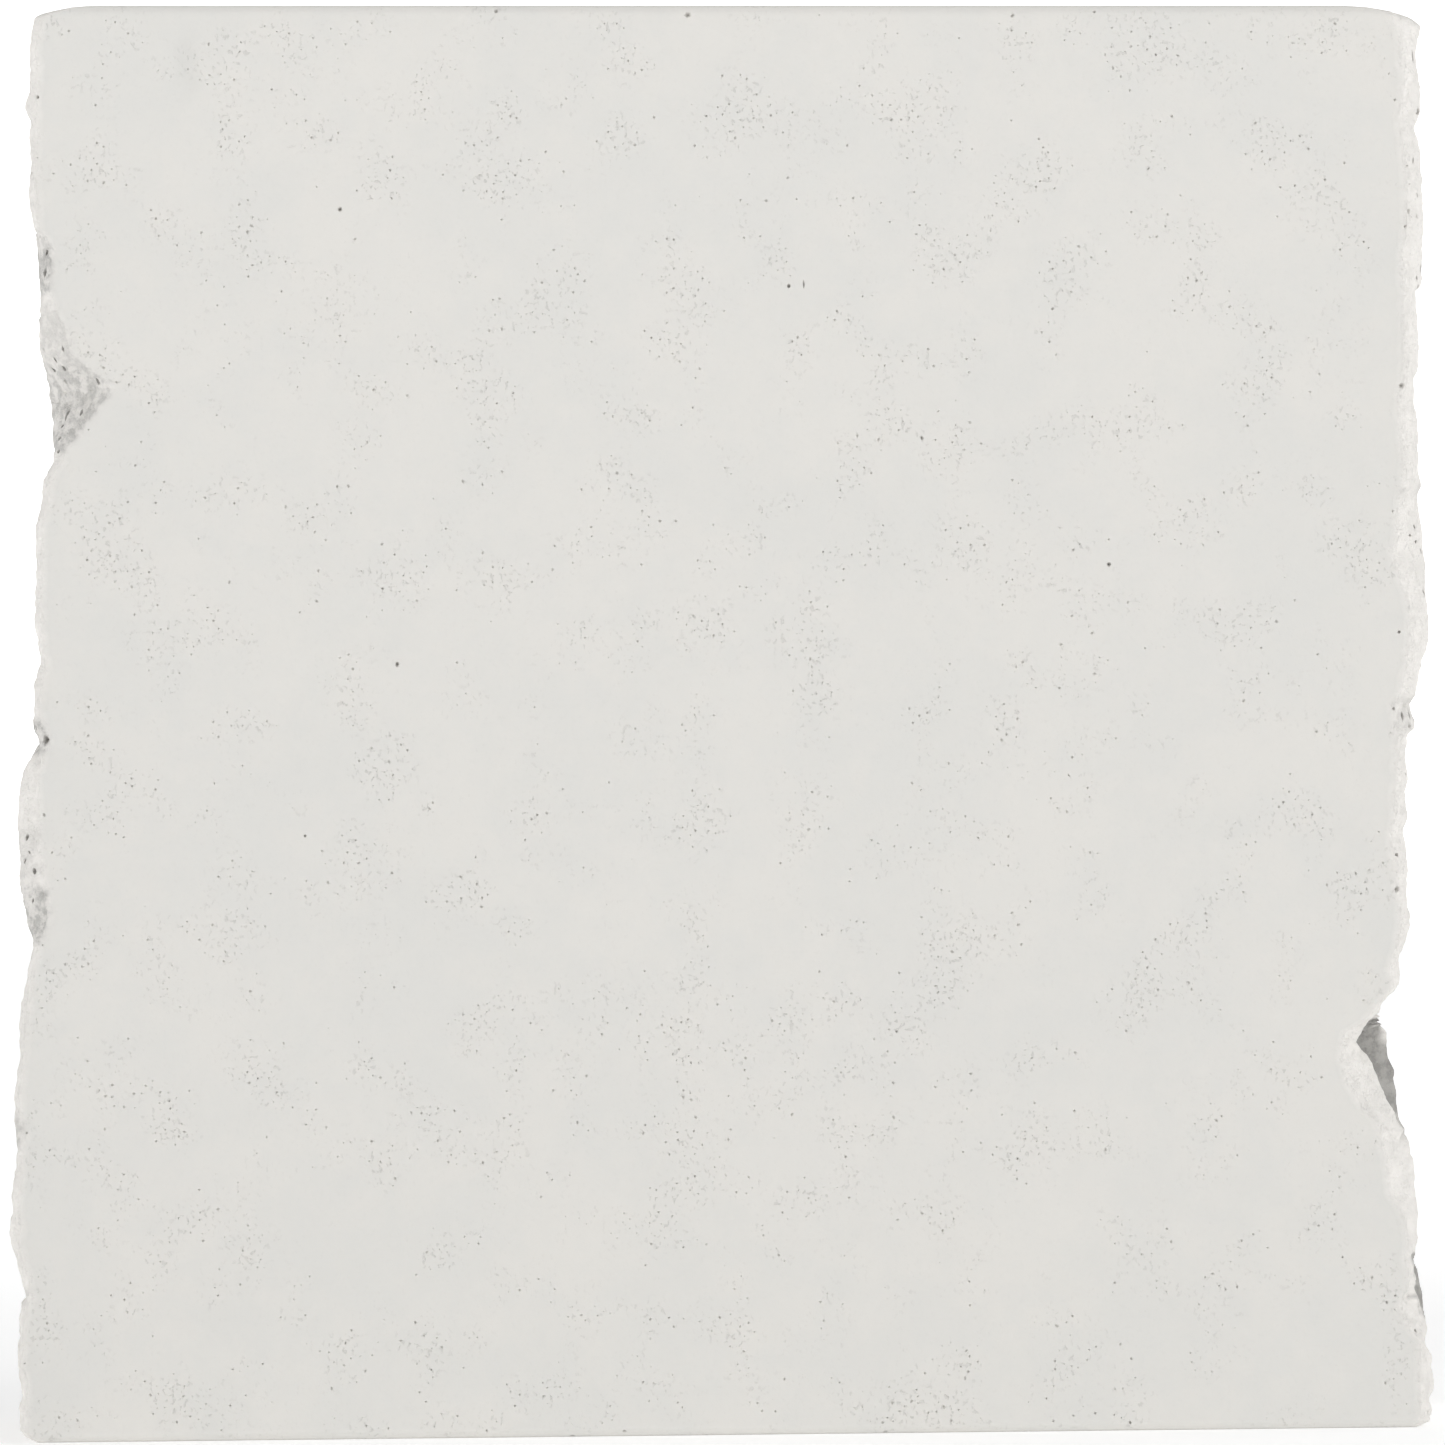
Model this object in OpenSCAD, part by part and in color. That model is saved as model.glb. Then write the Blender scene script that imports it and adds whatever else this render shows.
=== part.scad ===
// Gymnastics chalk block: one solid lump of cast and dried magnesium carbonate.
// The front and back faces, the top and the base are flat, as cast. The left and
// right sides are broken, because each block is snapped from a longer bar.
// It stands on its base. +Z is up, +X is right and the front face looks along -Y.
// The origin is at the middle of the base.

/* [Block] */
// Width between the furthest points of the two broken sides
block_w = 57.7; // [45:0.1:75]
// Thickness from the front face to the back face
block_d = 32; // [24:0.5:45]
// Height of the top at the left side
block_h = 58.1; // [45:0.1:75]
// How much lower the top is at the right side
top_fall = 0.65; // [0:0.05:1.5]
// Radius of the long arrises along the top and the base
arris_r = 0.3; // [0.1:0.05:0.8]

/* [Broken sides] */
// Depth behind the face that each millimetre of broken slope takes up
slope_run = 1.6; // [0.8:0.1:2.4]
// Height of the coarse waves that the break left behind its crest
wave_h = 0.9; // [0.1:0.1:1.5]
// Depth of the pocket where a flake came off the lower right edge
flake_d = 3; // [2:0.1:4]
// How much further in the break lies at the back arris
back_wear = 0.5; // [0.2:0.1:1.2]

/* [Hidden] */

half_w = block_w / 2;
half_d = block_d / 2;
over = 1;            // how far a cutter runs past the face that it cuts
arris_fn = 32;
drawn_h = 58.1;      // height that the outlines below are drawn for
z_scale = block_h / drawn_h;

// The broken sides, from the base up. Each row is the height, then how far inside the
// furthest point the crest of the break lies, then the same for the edge of the flat
// face. A fourth value is the lip of a pocket, where a flake has come off behind the face.
LEFT_BREAK = [
    [0.0, 1.1, 1.3], [0.2, 0.6, 0.8], [0.5, 0.35, 0.5], [1.5, 0.3, 0.45],
    [1.9, 0.43, 0.52], [3.4, 0.23, 0.38], [5.1, 0.38, 0.52], [5.7, 0.46, 0.65],
    [5.9, 0.68, 0.78], [6.7, 0.5, 0.62], [7.6, 0.27, 0.45], [8.1, 0.08, 0.3],
    [8.5, 0.0, 0.33], [9.5, 0.16, 0.28], [10.0, 0.1, 0.3], [11.8, 0.4, 0.48],
    [12.5, 0.31, 0.62], [13.2, 0.25, 0.4], [14.2, 0.26, 0.4], [15.6, 0.53, 0.62],
    [16.8, 0.4, 0.62], [17.8, 0.56, 0.85], [19.0, 0.83, 1.0], [20.3, 1.14, 1.27],
    [20.6, 0.98, 1.45], [21.2, 0.82, 1.68], [21.8, 0.67, 1.65], [22.6, 0.55, 1.5],
    [24.1, 0.6, 1.3], [25.0, 0.48, 1.27], [26.2, 0.58, 1.27], [27.0, 0.72, 1.3],
    [27.6, 1.0, 1.5], [28.0, 1.48, 1.62], [28.4, 1.4, 1.8], [29.0, 1.17, 1.4],
    [30.8, 1.28, 1.45], [31.5, 1.53, 1.63], [32.4, 1.43, 1.55], [33.1, 1.29, 1.45],
    [35.8, 1.4, 1.52], [37.1, 1.35, 1.57], [37.8, 1.58, 1.8], [39.0, 1.75, 1.97],
    [39.5, 2.12, 2.27], [40.1, 2.2, 2.5], [41.0, 2.12, 3.25], [41.7, 2.0, 3.8],
    [42.1, 1.93, 4.2], [42.5, 1.86, 4.4], [42.9, 1.78, 4.1], [43.4, 1.71, 3.55],
    [43.8, 1.62, 3.0], [44.2, 1.55, 2.75], [45.3, 1.57, 2.45], [46.1, 1.66, 2.05],
    [46.7, 1.68, 1.97], [48.2, 1.53, 2.06], [48.7, 1.45, 1.85], [49.0, 1.42, 1.52],
    [50.1, 1.27, 1.5], [51.1, 1.29, 1.48], [51.7, 1.36, 1.52], [52.7, 1.28, 1.5],
    [53.3, 1.4, 1.55], [54.0, 1.14, 1.5], [54.7, 1.35, 1.55], [56.4, 1.33, 1.6],
    [57.1, 1.45, 1.68], [57.6, 1.55, 1.8], [57.8, 2.0, 2.25], [58.0, 3.0, 3.2],
    [58.1, 4.5, 4.7]
];
RIGHT_BREAK = [
    [0.0, 0.9, 1.1], [0.2, 0.4, 0.65], [0.5, 0.22, 0.6], [1.15, 0.3, 0.65],
    [1.6, 0.1, 0.65], [2.9, 0.22, 0.68], [3.45, 0.5, 0.65], [3.9, 0.35, 1.0],
    [4.4, 0.43, 1.3], [5.0, 0.52, 1.4, 0.65], [5.5, 0.6, 1.12, 0.85],
    [6.0, 0.67, 1.05, 0.84], [6.6, 0.78, 1.12, 1.0], [7.05, 0.9, 1.1],
    [7.6, 0.74, 1.12], [8.5, 0.7, 1.2], [9.2, 0.72, 1.7], [10.0, 0.75, 1.85],
    [10.7, 0.84, 1.92], [11.6, 1.02, 2.05], [12.0, 1.08, 2.1, 1.22],
    [12.4, 1.34, 2.3, 1.52], [12.8, 1.4, 2.75, 1.65], [13.4, 1.45, 3.15, 1.98],
    [14.1, 1.62, 3.5, 2.4], [14.4, 1.52, 3.6, 2.48], [14.8, 1.68, 3.65, 2.6],
    [15.5, 1.8, 3.65, 3.2], [16.1, 1.78, 3.4, 2.88], [16.4, 1.95, 2.8, 2.6],
    [16.8, 2.2, 2.35], [17.1, 2.1, 2.22], [17.8, 1.4, 1.52], [18.5, 1.38, 1.67],
    [19.0, 1.4, 1.55], [19.6, 1.13, 1.32], [20.6, 0.84, 1.25], [21.0, 1.02, 1.3],
    [22.2, 1.0, 1.35], [23.2, 0.97, 1.52], [24.1, 1.15, 1.55], [24.6, 0.96, 1.4],
    [25.3, 1.02, 1.42], [26.2, 0.93, 1.33], [27.2, 1.03, 1.3], [28.0, 0.98, 1.3],
    [28.2, 0.63, 1.35], [28.7, 0.62, 1.4], [29.2, 0.83, 1.5], [29.6, 0.56, 1.15],
    [30.3, 0.42, 0.98], [30.8, 0.3, 0.85], [31.5, 0.04, 0.75], [32.1, 0.0, 0.72],
    [33.0, 0.07, 0.75], [34.0, 0.11, 0.98], [34.8, 0.09, 1.25], [35.4, 0.2, 1.38],
    [36.0, 0.25, 1.2], [37.0, 0.33, 1.15], [37.7, 0.38, 1.0], [38.0, 0.2, 0.95],
    [38.6, 0.38, 0.87], [40.7, 0.39, 1.0], [41.5, 0.52, 1.05], [42.4, 0.5, 0.87],
    [42.7, 0.33, 0.85], [44.0, 0.3, 0.85], [45.9, 0.34, 0.82], [46.1, 0.16, 0.87],
    [47.2, 0.07, 0.88], [48.6, 0.0, 0.63], [49.3, 0.05, 0.7], [51.0, 0.1, 0.72],
    [52.1, 0.2, 0.8], [52.5, 0.37, 0.85], [53.1, 0.12, 0.85], [53.8, 0.08, 0.8],
    [54.6, 0.22, 0.74], [55.4, 0.32, 0.78], [56.1, 0.2, 0.86], [56.65, 0.0, 1.0],
    [57.0, 0.5, 1.2], [57.2, 1.1, 1.4], [57.4, 2.0, 2.2], [57.5, 3.5, 3.7],
    [58.1, 5.0, 5.2]
];

crest_lead = 0.5;    // depth of the crest where the broken slope has no width
lip_part = 0.35;     // where a plain slope bends, as parts of its depth...
lip_reach = 0.45;    // ...and of its width, first near the face
foot_part = 0.65;
foot_reach = 0.2;    // and then near the crest
pocket_lip = 0.9;    // depth of a pocket's lip and of the rise behind its foot
back_depth = 0.9;    // depth of the worn back arris
body_parts = [0.07, 0.18, 0.36, 0.56, 0.78, 1];   // bends between the crest and the back arris
body_taper = 0.5;    // how much further in the break lies by the time it reaches the back

// Behind the crest its outline fades into a calmer one, taken from the heights around it
blend_part = 0.18;   // part of the thickness over which it fades
near_span = 0.8;     // spacing of those heights
near_n = 5;          // how many there are above and below
near_power = 6;      // the larger, the closer the calm outline keeps to the deepest notch
end_clear = 1.5;     // height that it leaves out at the worn corners

// Waves of the break behind the crest. Each row is a wave's strength, then the degrees that
// it turns over the thickness, over a millimetre of height and from one side to the other.
WAVES = [[0.22, 310, 9, 1], [0.16, 560, -21, 0], [0.12, 430, 47, 2]];
wave_mean = 0.5;     // the sum of the strengths, so that the waves never go below 0
wave_part = 0.4;     // part of the thickness over which they reach their full height

function height(s) = s[0] * z_scale;
function crest(s) = s[1];
function face(s) = s[2];
function has_pocket(s) = !is_undef(s[3]);
function mix(a, b, t) = a + (b - a) * t;

function sum(list) = list * [for (v = list) 1];

// The crest at any height short of the worn corners, and the calm outline made from it
function crest_at(side, z) =
    lookup(min(max(z, end_clear), drawn_h - end_clear), [for (s = side) [s[0], crest(s)]]);
function faded_crest(side, z) =
    let (near = [for (k = [-near_n : near_n]) pow(crest_at(side, z + k * near_span), near_power)])
    pow(sum(near) / len(near), 1 / near_power);

// Height of the waves at the part t of the thickness and the height z
function waves(t, z, turn) =
    wave_h * (wave_mean + sum([for (w = WAVES) w[0] * sin(w[1] * t + w[2] * z + w[3] * turn)]));

// How far behind the face the crest lies
function crest_depth(s) =
    has_pocket(s) ? flake_d + pocket_lip : crest_lead + slope_run * (face(s) - crest(s));

// How far inside the break lies behind its crest, at the part t of the remaining depth
function body(side, s, t, turn) =
    let (faded = mix(crest(s), faded_crest(side, s[0]), min(1, t / blend_part)),
         rise = min(1, t / wave_part))
    max(crest(s), faded) + body_taper * t + rise * waves(t, s[0], turn);

// One level outline of a side, from front to back: [depth, distance inside]
function level(side, s, turn) =
    let (cd = crest_depth(s),
         wide = face(s) - crest(s),
         lip = has_pocket(s) ? [pocket_lip, s[3]] : [cd * lip_part, crest(s) + wide * lip_reach],
         foot = has_pocket(s) ? [flake_d, s[3]] : [cd * foot_part, crest(s) + wide * foot_reach],
         back_in = body(side, s, 1, turn) + back_wear)
    concat(
        [[-over, face(s)], [0, face(s)], lip, foot, [cd, crest(s)]],
        [for (t = body_parts) [mix(cd, block_d - back_depth, t), body(side, s, t, turn)]],
        [[block_d, back_in], [block_d + over, back_in]]
    );

// The waste outside a broken side, as a closed solid that is cut from the slab.
// side_x is -1 for the left side and 1 for the right side.
module waste(side, side_x, turn) {
    first = side[0];
    last = side[len(side) - 1];
    heights = concat([-over], [for (s = side) height(s)], [block_h + over]);
    levels = concat([level(side, first, turn)],
                    [for (s = side) level(side, s, turn)],
                    [level(side, last, turn)]);
    rows = len(levels);
    cols = len(levels[0]);
    skin = [for (r = [0 : rows - 1]) for (p = levels[r])
        [side_x * (half_w - p[1]), p[0] - half_d, heights[r]]];
    far_x = side_x * (half_w + over);
    corners = [
        [far_x, -half_d - over, -over],
        [far_x, half_d + over, -over],
        [far_x, half_d + over, block_h + over],
        [far_x, -half_d - over, block_h + over]
    ];
    n = rows * cols;
    function at(r, c) = r * cols + c;
    near_faces = [for (r = [0 : rows - 2]) for (c = [0 : cols - 2]) for (half = [0, 1])
        half == 0 ? [at(r, c), at(r + 1, c), at(r + 1, c + 1)]
                  : [at(r, c), at(r + 1, c + 1), at(r, c + 1)]];
    caps = [
        concat([for (r = [0 : rows - 1]) at(rows - 1 - r, 0)], [n, n + 3]),
        concat([for (r = [0 : rows - 1]) at(r, cols - 1)], [n + 2, n + 1]),
        concat([for (c = [0 : cols - 1]) at(0, c)], [n + 1, n]),
        concat([for (c = [0 : cols - 1]) at(rows - 1, cols - 1 - c)], [n + 3, n + 2]),
        [n, n + 1, n + 2, n + 3]
    ];
    all_faces = concat(near_faces, caps);
    wanted = side_x < 0 ? all_faces : [for (f = all_faces) [for (k = [len(f) - 1 : -1 : 0]) f[k]]];
    polyhedron(concat(skin, corners), wanted, convexity = 8);
}

// A bar along X with both of its upper arrises rounded, its top at height 0
module bar(down) {
    flat_d = block_d - 2 * arris_r;
    long = block_w + over;
    translate([-long / 2, -flat_d / 2, -down])
        cube([long, flat_d, down]);
    translate([-long / 2, -half_d, -down])
        cube([long, block_d, down - arris_r]);
    for (y = [-1, 1])
        translate([-long / 2, y * flat_d / 2, -arris_r])
            rotate([0, 90, 0])
                cylinder(r = arris_r, h = long, $fn = arris_fn);
}

// The slab as cast: the base is level and the top falls slightly to the right
module slab() {
    intersection() {
        mirror([0, 0, 1])
            bar(block_h + 2 * over);
        translate([-half_w, 0, block_h])
            rotate([0, atan(top_fall / block_w), 0])
                translate([half_w, 0, 0])
                    bar(block_h + 2 * over);
    }
}

module chalk_block() {
    color([0.87, 0.865, 0.85])
        difference() {
            slab();
            waste(LEFT_BREAK, -1, 40);
            waste(RIGHT_BREAK, 1, 200);
        }
}

chalk_block();
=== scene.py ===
import math

import bmesh
import bpy
import numpy as np
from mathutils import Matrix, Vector, noise
from mathutils.bvhtree import BVHTree
from mathutils.kdtree import KDTree


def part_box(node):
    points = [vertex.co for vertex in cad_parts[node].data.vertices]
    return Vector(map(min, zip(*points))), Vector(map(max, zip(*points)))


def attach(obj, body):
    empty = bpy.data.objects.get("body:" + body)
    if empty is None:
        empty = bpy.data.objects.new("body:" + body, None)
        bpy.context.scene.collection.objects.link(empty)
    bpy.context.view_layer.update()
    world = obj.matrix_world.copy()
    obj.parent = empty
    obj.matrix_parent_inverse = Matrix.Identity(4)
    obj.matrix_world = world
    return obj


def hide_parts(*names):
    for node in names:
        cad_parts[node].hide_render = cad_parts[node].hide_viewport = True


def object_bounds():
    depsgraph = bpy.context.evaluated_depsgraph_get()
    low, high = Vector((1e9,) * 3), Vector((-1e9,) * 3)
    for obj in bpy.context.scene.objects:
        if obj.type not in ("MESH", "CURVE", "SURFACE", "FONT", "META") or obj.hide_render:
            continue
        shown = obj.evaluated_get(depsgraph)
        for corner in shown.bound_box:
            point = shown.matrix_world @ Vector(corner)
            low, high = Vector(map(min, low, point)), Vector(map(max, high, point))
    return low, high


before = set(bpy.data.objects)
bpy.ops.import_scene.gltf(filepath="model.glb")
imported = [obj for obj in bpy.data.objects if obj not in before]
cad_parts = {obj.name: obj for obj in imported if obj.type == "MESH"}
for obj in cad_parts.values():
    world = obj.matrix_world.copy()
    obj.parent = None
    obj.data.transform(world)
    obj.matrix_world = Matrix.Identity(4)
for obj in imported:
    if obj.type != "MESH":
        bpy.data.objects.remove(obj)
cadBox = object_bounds()
print("frame loaded")

mm = 0.001   # shapes are worked out in millimetres and turned into metres at the end


class Plug:   # a node's socket, on which Python arithmetic adds Math nodes
    def __init__(self, graph, socket):
        self.graph, self.socket = graph, socket

    def math(self, operation, *values):
        return self.graph.math(operation, *values)

    def __add__(self, other):
        return self.math("ADD", self, other)

    def __mul__(self, other):
        return self.math("MULTIPLY", self, other)

    def __sub__(self, other):
        return self.math("SUBTRACT", self, other)

    def __rsub__(self, other):
        return self.math("SUBTRACT", other, self)

    def __truediv__(self, other):
        return self.math("DIVIDE", self, other)

    def __rtruediv__(self, other):
        return self.math("DIVIDE", other, self)

    def __lt__(self, other):
        return self.math("LESS_THAN", self, other)

    __radd__ = __add__
    __rmul__ = __mul__

    def ramp(self, low, high):   # 0 below low, 1 above high and smooth in between
        values = {"Value": self, "From Min": low, "From Max": high}
        return self.graph.add("ShaderNodeMapRange", {"interpolation_type": "SMOOTHSTEP"}, values)


class Graph:   # makes and links the nodes of one tree
    def __init__(self, tree):
        self.tree = tree

    def add(self, kind, settings=None, values=(), output=0):
        node = self.tree.nodes.new(kind)
        for name, setting in (settings or {}).items():
            setattr(node, name, setting)
        pairs = values.items() if isinstance(values, dict) else enumerate(values)
        for key, value in pairs:
            socket = self.findInput(node, key)
            if isinstance(value, Plug):
                self.tree.links.new(value.socket, socket)
            else:
                socket.default_value = value
        return Plug(self, node.outputs[output])

    def findInput(self, node, key):   # the enabled socket, where several share a name
        if isinstance(key, int):
            return node.inputs[key]
        return next(socket for socket in node.inputs if socket.name == key and socket.enabled)

    def math(self, operation, *values):
        return self.add("ShaderNodeMath", {"operation": operation}, values)

    def mix(self, factor, first, second):   # of two colours
        values = {"Factor": factor, "A": first, "B": second}
        return self.add("ShaderNodeMix", {"data_type": "RGBA"}, values, 2)


def smooth(low, high, value):   # the same on numbers and arrays
    part = np.clip((value - low) / (high - low), 0.0, 1.0)
    return part * part * (3 - 2 * part)


# The block's own shape, read from its CAD node

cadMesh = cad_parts["chalk_block"].data
cadTree = BVHTree.FromPolygons(
    [v.co / mm for v in cadMesh.vertices], [p.vertices[:] for p in cadMesh.polygons]
)
lowCorner, highCorner = [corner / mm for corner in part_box("chalk_block")]
halfWide = (highCorner.x - lowCorner.x) / 2
halfDeep = (highCorner.y - lowCorner.y) / 2
deep = 2 * halfDeep


def heightAt(x):   # of the top, in the middle of the thickness
    hit = cadTree.ray_cast(Vector((x, 0, highCorner.z + 5)), Vector((0, 0, -1)))
    return hit[0].z


slopeReach = 20   # how far from the middle the slope of the top is measured
topMiddle = heightAt(0)
topSlope = (heightAt(slopeReach) - heightAt(-slopeReach)) / (2 * slopeReach)


def topAt(x):
    return topMiddle + topSlope * x


# The shell: two broken sides as fine grids, the cast faces as large flat ones between them

shell = {
    "rowStep": 0.17,         # spacing of the rows up a broken side
    "endStep": 0.08,         # the same close to the top and the base
    "endReach": 1.4,         # how far from them the rows are that close
    "firstColumn": 0.14,     # the first column behind the face
    "firstStep": 0.09,       # spacing of the columns there
    "columnGrowth": 1.045,   # how it grows from column to column
    "fineReach": 5.2,        # where the fine columns end and the coarse ones start
    "coarseStep": 0.55,      # spacing of the coarse columns
    "backColumns": [0.6, 0.3, 0.1],   # last columns, measured from the back face
    "edgeBand": [(0.42, 0.0), (0.2, 0.01), (0.06, 0.05)],   # rounding of a face's edge: inwards, behind
    "bandClear": [0.03, 0.01],   # how far inside the first column its two outer columns stay
    "skin": 0.004,           # depth at which the edge of a face is sampled
    "bandTone": 0.4,         # how much of the break's tones the middle of the rounding takes
    "arrisRadius": 0.42,     # rounding along the top and the base
    "firstGuess": {-1: 6.0, 1: 1.0},   # inset to start from, where the top falls to the right
    "arrisRows": 6,          # an even number, because the coarse columns use every second row
    "arrisStep": 0.35,       # spacing along it
    "ragged": 0.09,          # how far a face's edge wanders
    "raggedSize": 0.55,      # over what height
    "wander": 3.0,           # how far the profile shifts up or down behind the face
    "wanderFrom": (1.5, 9.0),    # over which depth that grows
    "wanderEnds": (0.5, 6.0),    # and over which distance from the top and the base
    "wanderSize": (5.0, 7.0),    # size of the shifts: front to back, up
    "inside": 0.9998,        # how near to the front and back the sampling goes, as a share of the way
    "settle": 4,             # how often a place is sampled again, where the top slopes
}


def rowHeights():   # from the base to the top, for a block of the middle's height
    radius, rows = shell["arrisRadius"], shell["arrisRows"]
    arris = [radius * (1 - math.cos(math.pi / 2 * k / rows)) for k in range(rows + 1)]
    endRows = round((shell["endReach"] - radius) / shell["endStep"])
    near = list(np.linspace(radius, shell["endReach"], endRows + 1)[1:])
    start = arris + near
    middleRows = 2 * round((topMiddle - 2 * shell["endReach"]) / shell["rowStep"] / 2)
    middle = list(np.linspace(shell["endReach"], topMiddle - shell["endReach"], middleRows + 1)[1:-1])
    return np.array(start + middle + [topMiddle - height for height in reversed(start)])


def arrisOffsets(heights):   # how far the arris draws each row in from the faces
    radius = shell["arrisRadius"]
    drop = np.minimum(np.minimum(heights, topMiddle - heights), radius)
    return radius - np.sqrt(np.maximum(radius ** 2 - (radius - drop) ** 2, 0))


def columnDepths():
    step, depth, fine = shell["firstStep"], shell["firstColumn"], []
    while depth < shell["fineReach"]:
        fine.append(depth)
        depth += step
        step *= shell["columnGrowth"]
    last = [deep - back for back in shell["backColumns"]]
    coarseCount = round((last[0] - depth) / shell["coarseStep"])
    coarse = list(np.linspace(depth, last[0], coarseCount + 1)) + last[1:]
    return np.array(fine), np.array(coarse)


heights = rowHeights()
offsets = arrisOffsets(heights)
fineDepths, coarseDepths = columnDepths()
tilt = np.clip((heights - shell["arrisRadius"]) / (topMiddle - 2 * shell["arrisRadius"]), 0, 1)


def castInset(side, y, z):
    start = Vector((side * (halfWide + 5), y, z))
    hit = cadTree.ray_cast(start, Vector((-side, 0, 0)))[0]
    return None if hit is None else halfWide - side * hit.x


def wander(side, height, depth):
    # how far up or down the profile shifts, so that its creases don't run straight to the back
    fromEnd = min(height, topMiddle - height)
    share = smooth(*shell["wanderFrom"], depth) * smooth(*shell["wanderEnds"], fromEnd)
    along, up = shell["wanderSize"]
    place = Vector((depth / along, height / up, side * 5))
    return shell["wander"] * float(share) * noise.fractal(place, 0.8, 2.1, 3)


def sampleSide(side, depths):
    # inset and height of each row and column of one side
    insets = np.zeros((len(heights), len(depths)))
    levels = np.zeros_like(insets)
    for r, height in enumerate(heights):
        squeeze = 1 - 2 * offsets[r] / deep
        known = shell["firstGuess"][side]
        for c, depth in enumerate(depths):
            y = (depth - halfDeep) * squeeze * shell["inside"]
            inset = known
            drift = wander(side, height, depth)
            for again in range(shell["settle"]):
                z = height + tilt[r] * topSlope * side * (halfWide - inset)
                found = castInset(side, y, min(max(z, 0.01), z - 0.01 * tilt[r]) + drift)
                inset = inset if found is None else found
            insets[r, c] = known = inset
            levels[r, c] = z
    return insets, levels


fracture = {
    "lumpSize": 2.6,         # size of the coarse lumps of the break
    "lumpDepth": 0.5,
    "facetSize": 1.5,        # size of the facets that the break left
    "facetDepth": 0.5,
    "smallFacet": (2.6, 0.5),    # how much smaller the second facets are, and how deep in comparison
    "grainSize": 0.4,        # size of the crumbly grain
    "grainDepth": 0.16,
    "calm": 0.3,             # share of the lumps and facets that the slopes next to the face keep
    "calmReach": 4.0,        # how far behind the crest they reach their full depth
    "calmGrain": 0.6,        # share of the grain that they keep
    "frontStretch": 0.6,     # how much the shapes are drawn out from front to back, close to the face
    "crestShare": 0.5,       # share of the calm part, and of the grain, that is left at the crest
    "crestWidth": 0.35,      # how far inside the crest that share ends
    "bias": 0.25,            # how much deeper the lumps and facets lie, so that they stay inside
    "outwards": 0.25,        # how far anything may stand out
    "torn": 0.07,            # depth of the streaks where a chip tore off
    "tornSize": (0.32, 0.32, 1.0),   # their size: across, front to back, up
}


def facet(point, size):   # flat facets, each tilted its own way
    scaled = point / size
    distances, places = noise.voronoi(scaled)
    tiltOf = noise.cell_vector(places[0] * 7.3) - Vector((0.5, 0.5, 0.5))
    edge = min(1.0, (distances[1] - distances[0]) * 3.0)
    return tiltOf.dot(scaled - places[0]) * edge


def breakShape(point):   # lumps and facets, about 0 on average
    lumps = noise.fractal(point / fracture["lumpSize"], 1.0, 2.0, 3)
    smaller, share = fracture["smallFacet"]
    flat = facet(point, fracture["facetSize"])
    flat += share * facet(point + Vector((9, 4, 7)), fracture["facetSize"] / smaller)
    return fracture["lumpDepth"] * lumps + fracture["facetDepth"] * flat


def breakGrain(point):   # crumbs, with sharper hollows than humps
    grain = noise.fractal(point / fracture["grainSize"], 0.6, 2.1, 3)
    return fracture["grainDepth"] * (grain + 0.8 * max(0.0, grain) ** 2)


def tornStreaks(point):   # upright ridges with sharp hollows between them
    stretched = Vector(a / b for a, b in zip(point, fracture["tornSize"]))
    return fracture["torn"] * (1 - 2 * abs(noise.fractal(stretched, 0.6, 2.2, 3)))


def breakSide(side, facts, tones):
    # inward depth of the fracture over one side, calm next to the face and full behind the crest
    insets, levels, depths = facts["insets"], facts["levels"], facts["depths"]
    full = smooth(0, fracture["calmReach"], depths[None, :] - facts["crestDepths"][:, None])
    above = np.clip((insets - facts["crests"][:, None]) / fracture["crestWidth"], 0, 1)
    kept = fracture["crestShare"] + (1 - fracture["crestShare"]) * above
    share = fracture["calm"] * kept + (1 - fracture["calm"] * kept) * full
    grainShare = np.maximum(kept * fracture["calmGrain"], full)
    torn = np.maximum(tones["grey"], tones["dark"]) * above
    result = np.zeros_like(insets)
    for r in range(insets.shape[0]):
        for c, depth in enumerate(depths):
            along = depth - fracture["frontStretch"] * min(depth, fracture["calmReach"])
            point = Vector((side * (halfWide + 40 - insets[r, c]), along, levels[r, c]))
            result[r, c] = share[r, c] * (breakShape(point) + fracture["bias"] * share[r, c])
            result[r, c] += grainShare[r, c] * breakGrain(point)
            if torn[r, c] > 0.01:
                result[r, c] += torn[r, c] * tornStreaks(point)
    return np.maximum(result, -fracture["outwards"])


# Painted shade on the break: grey on slopes turned away from the light, dark where a pocket's floor and a
# sliver lie in shadow

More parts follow.
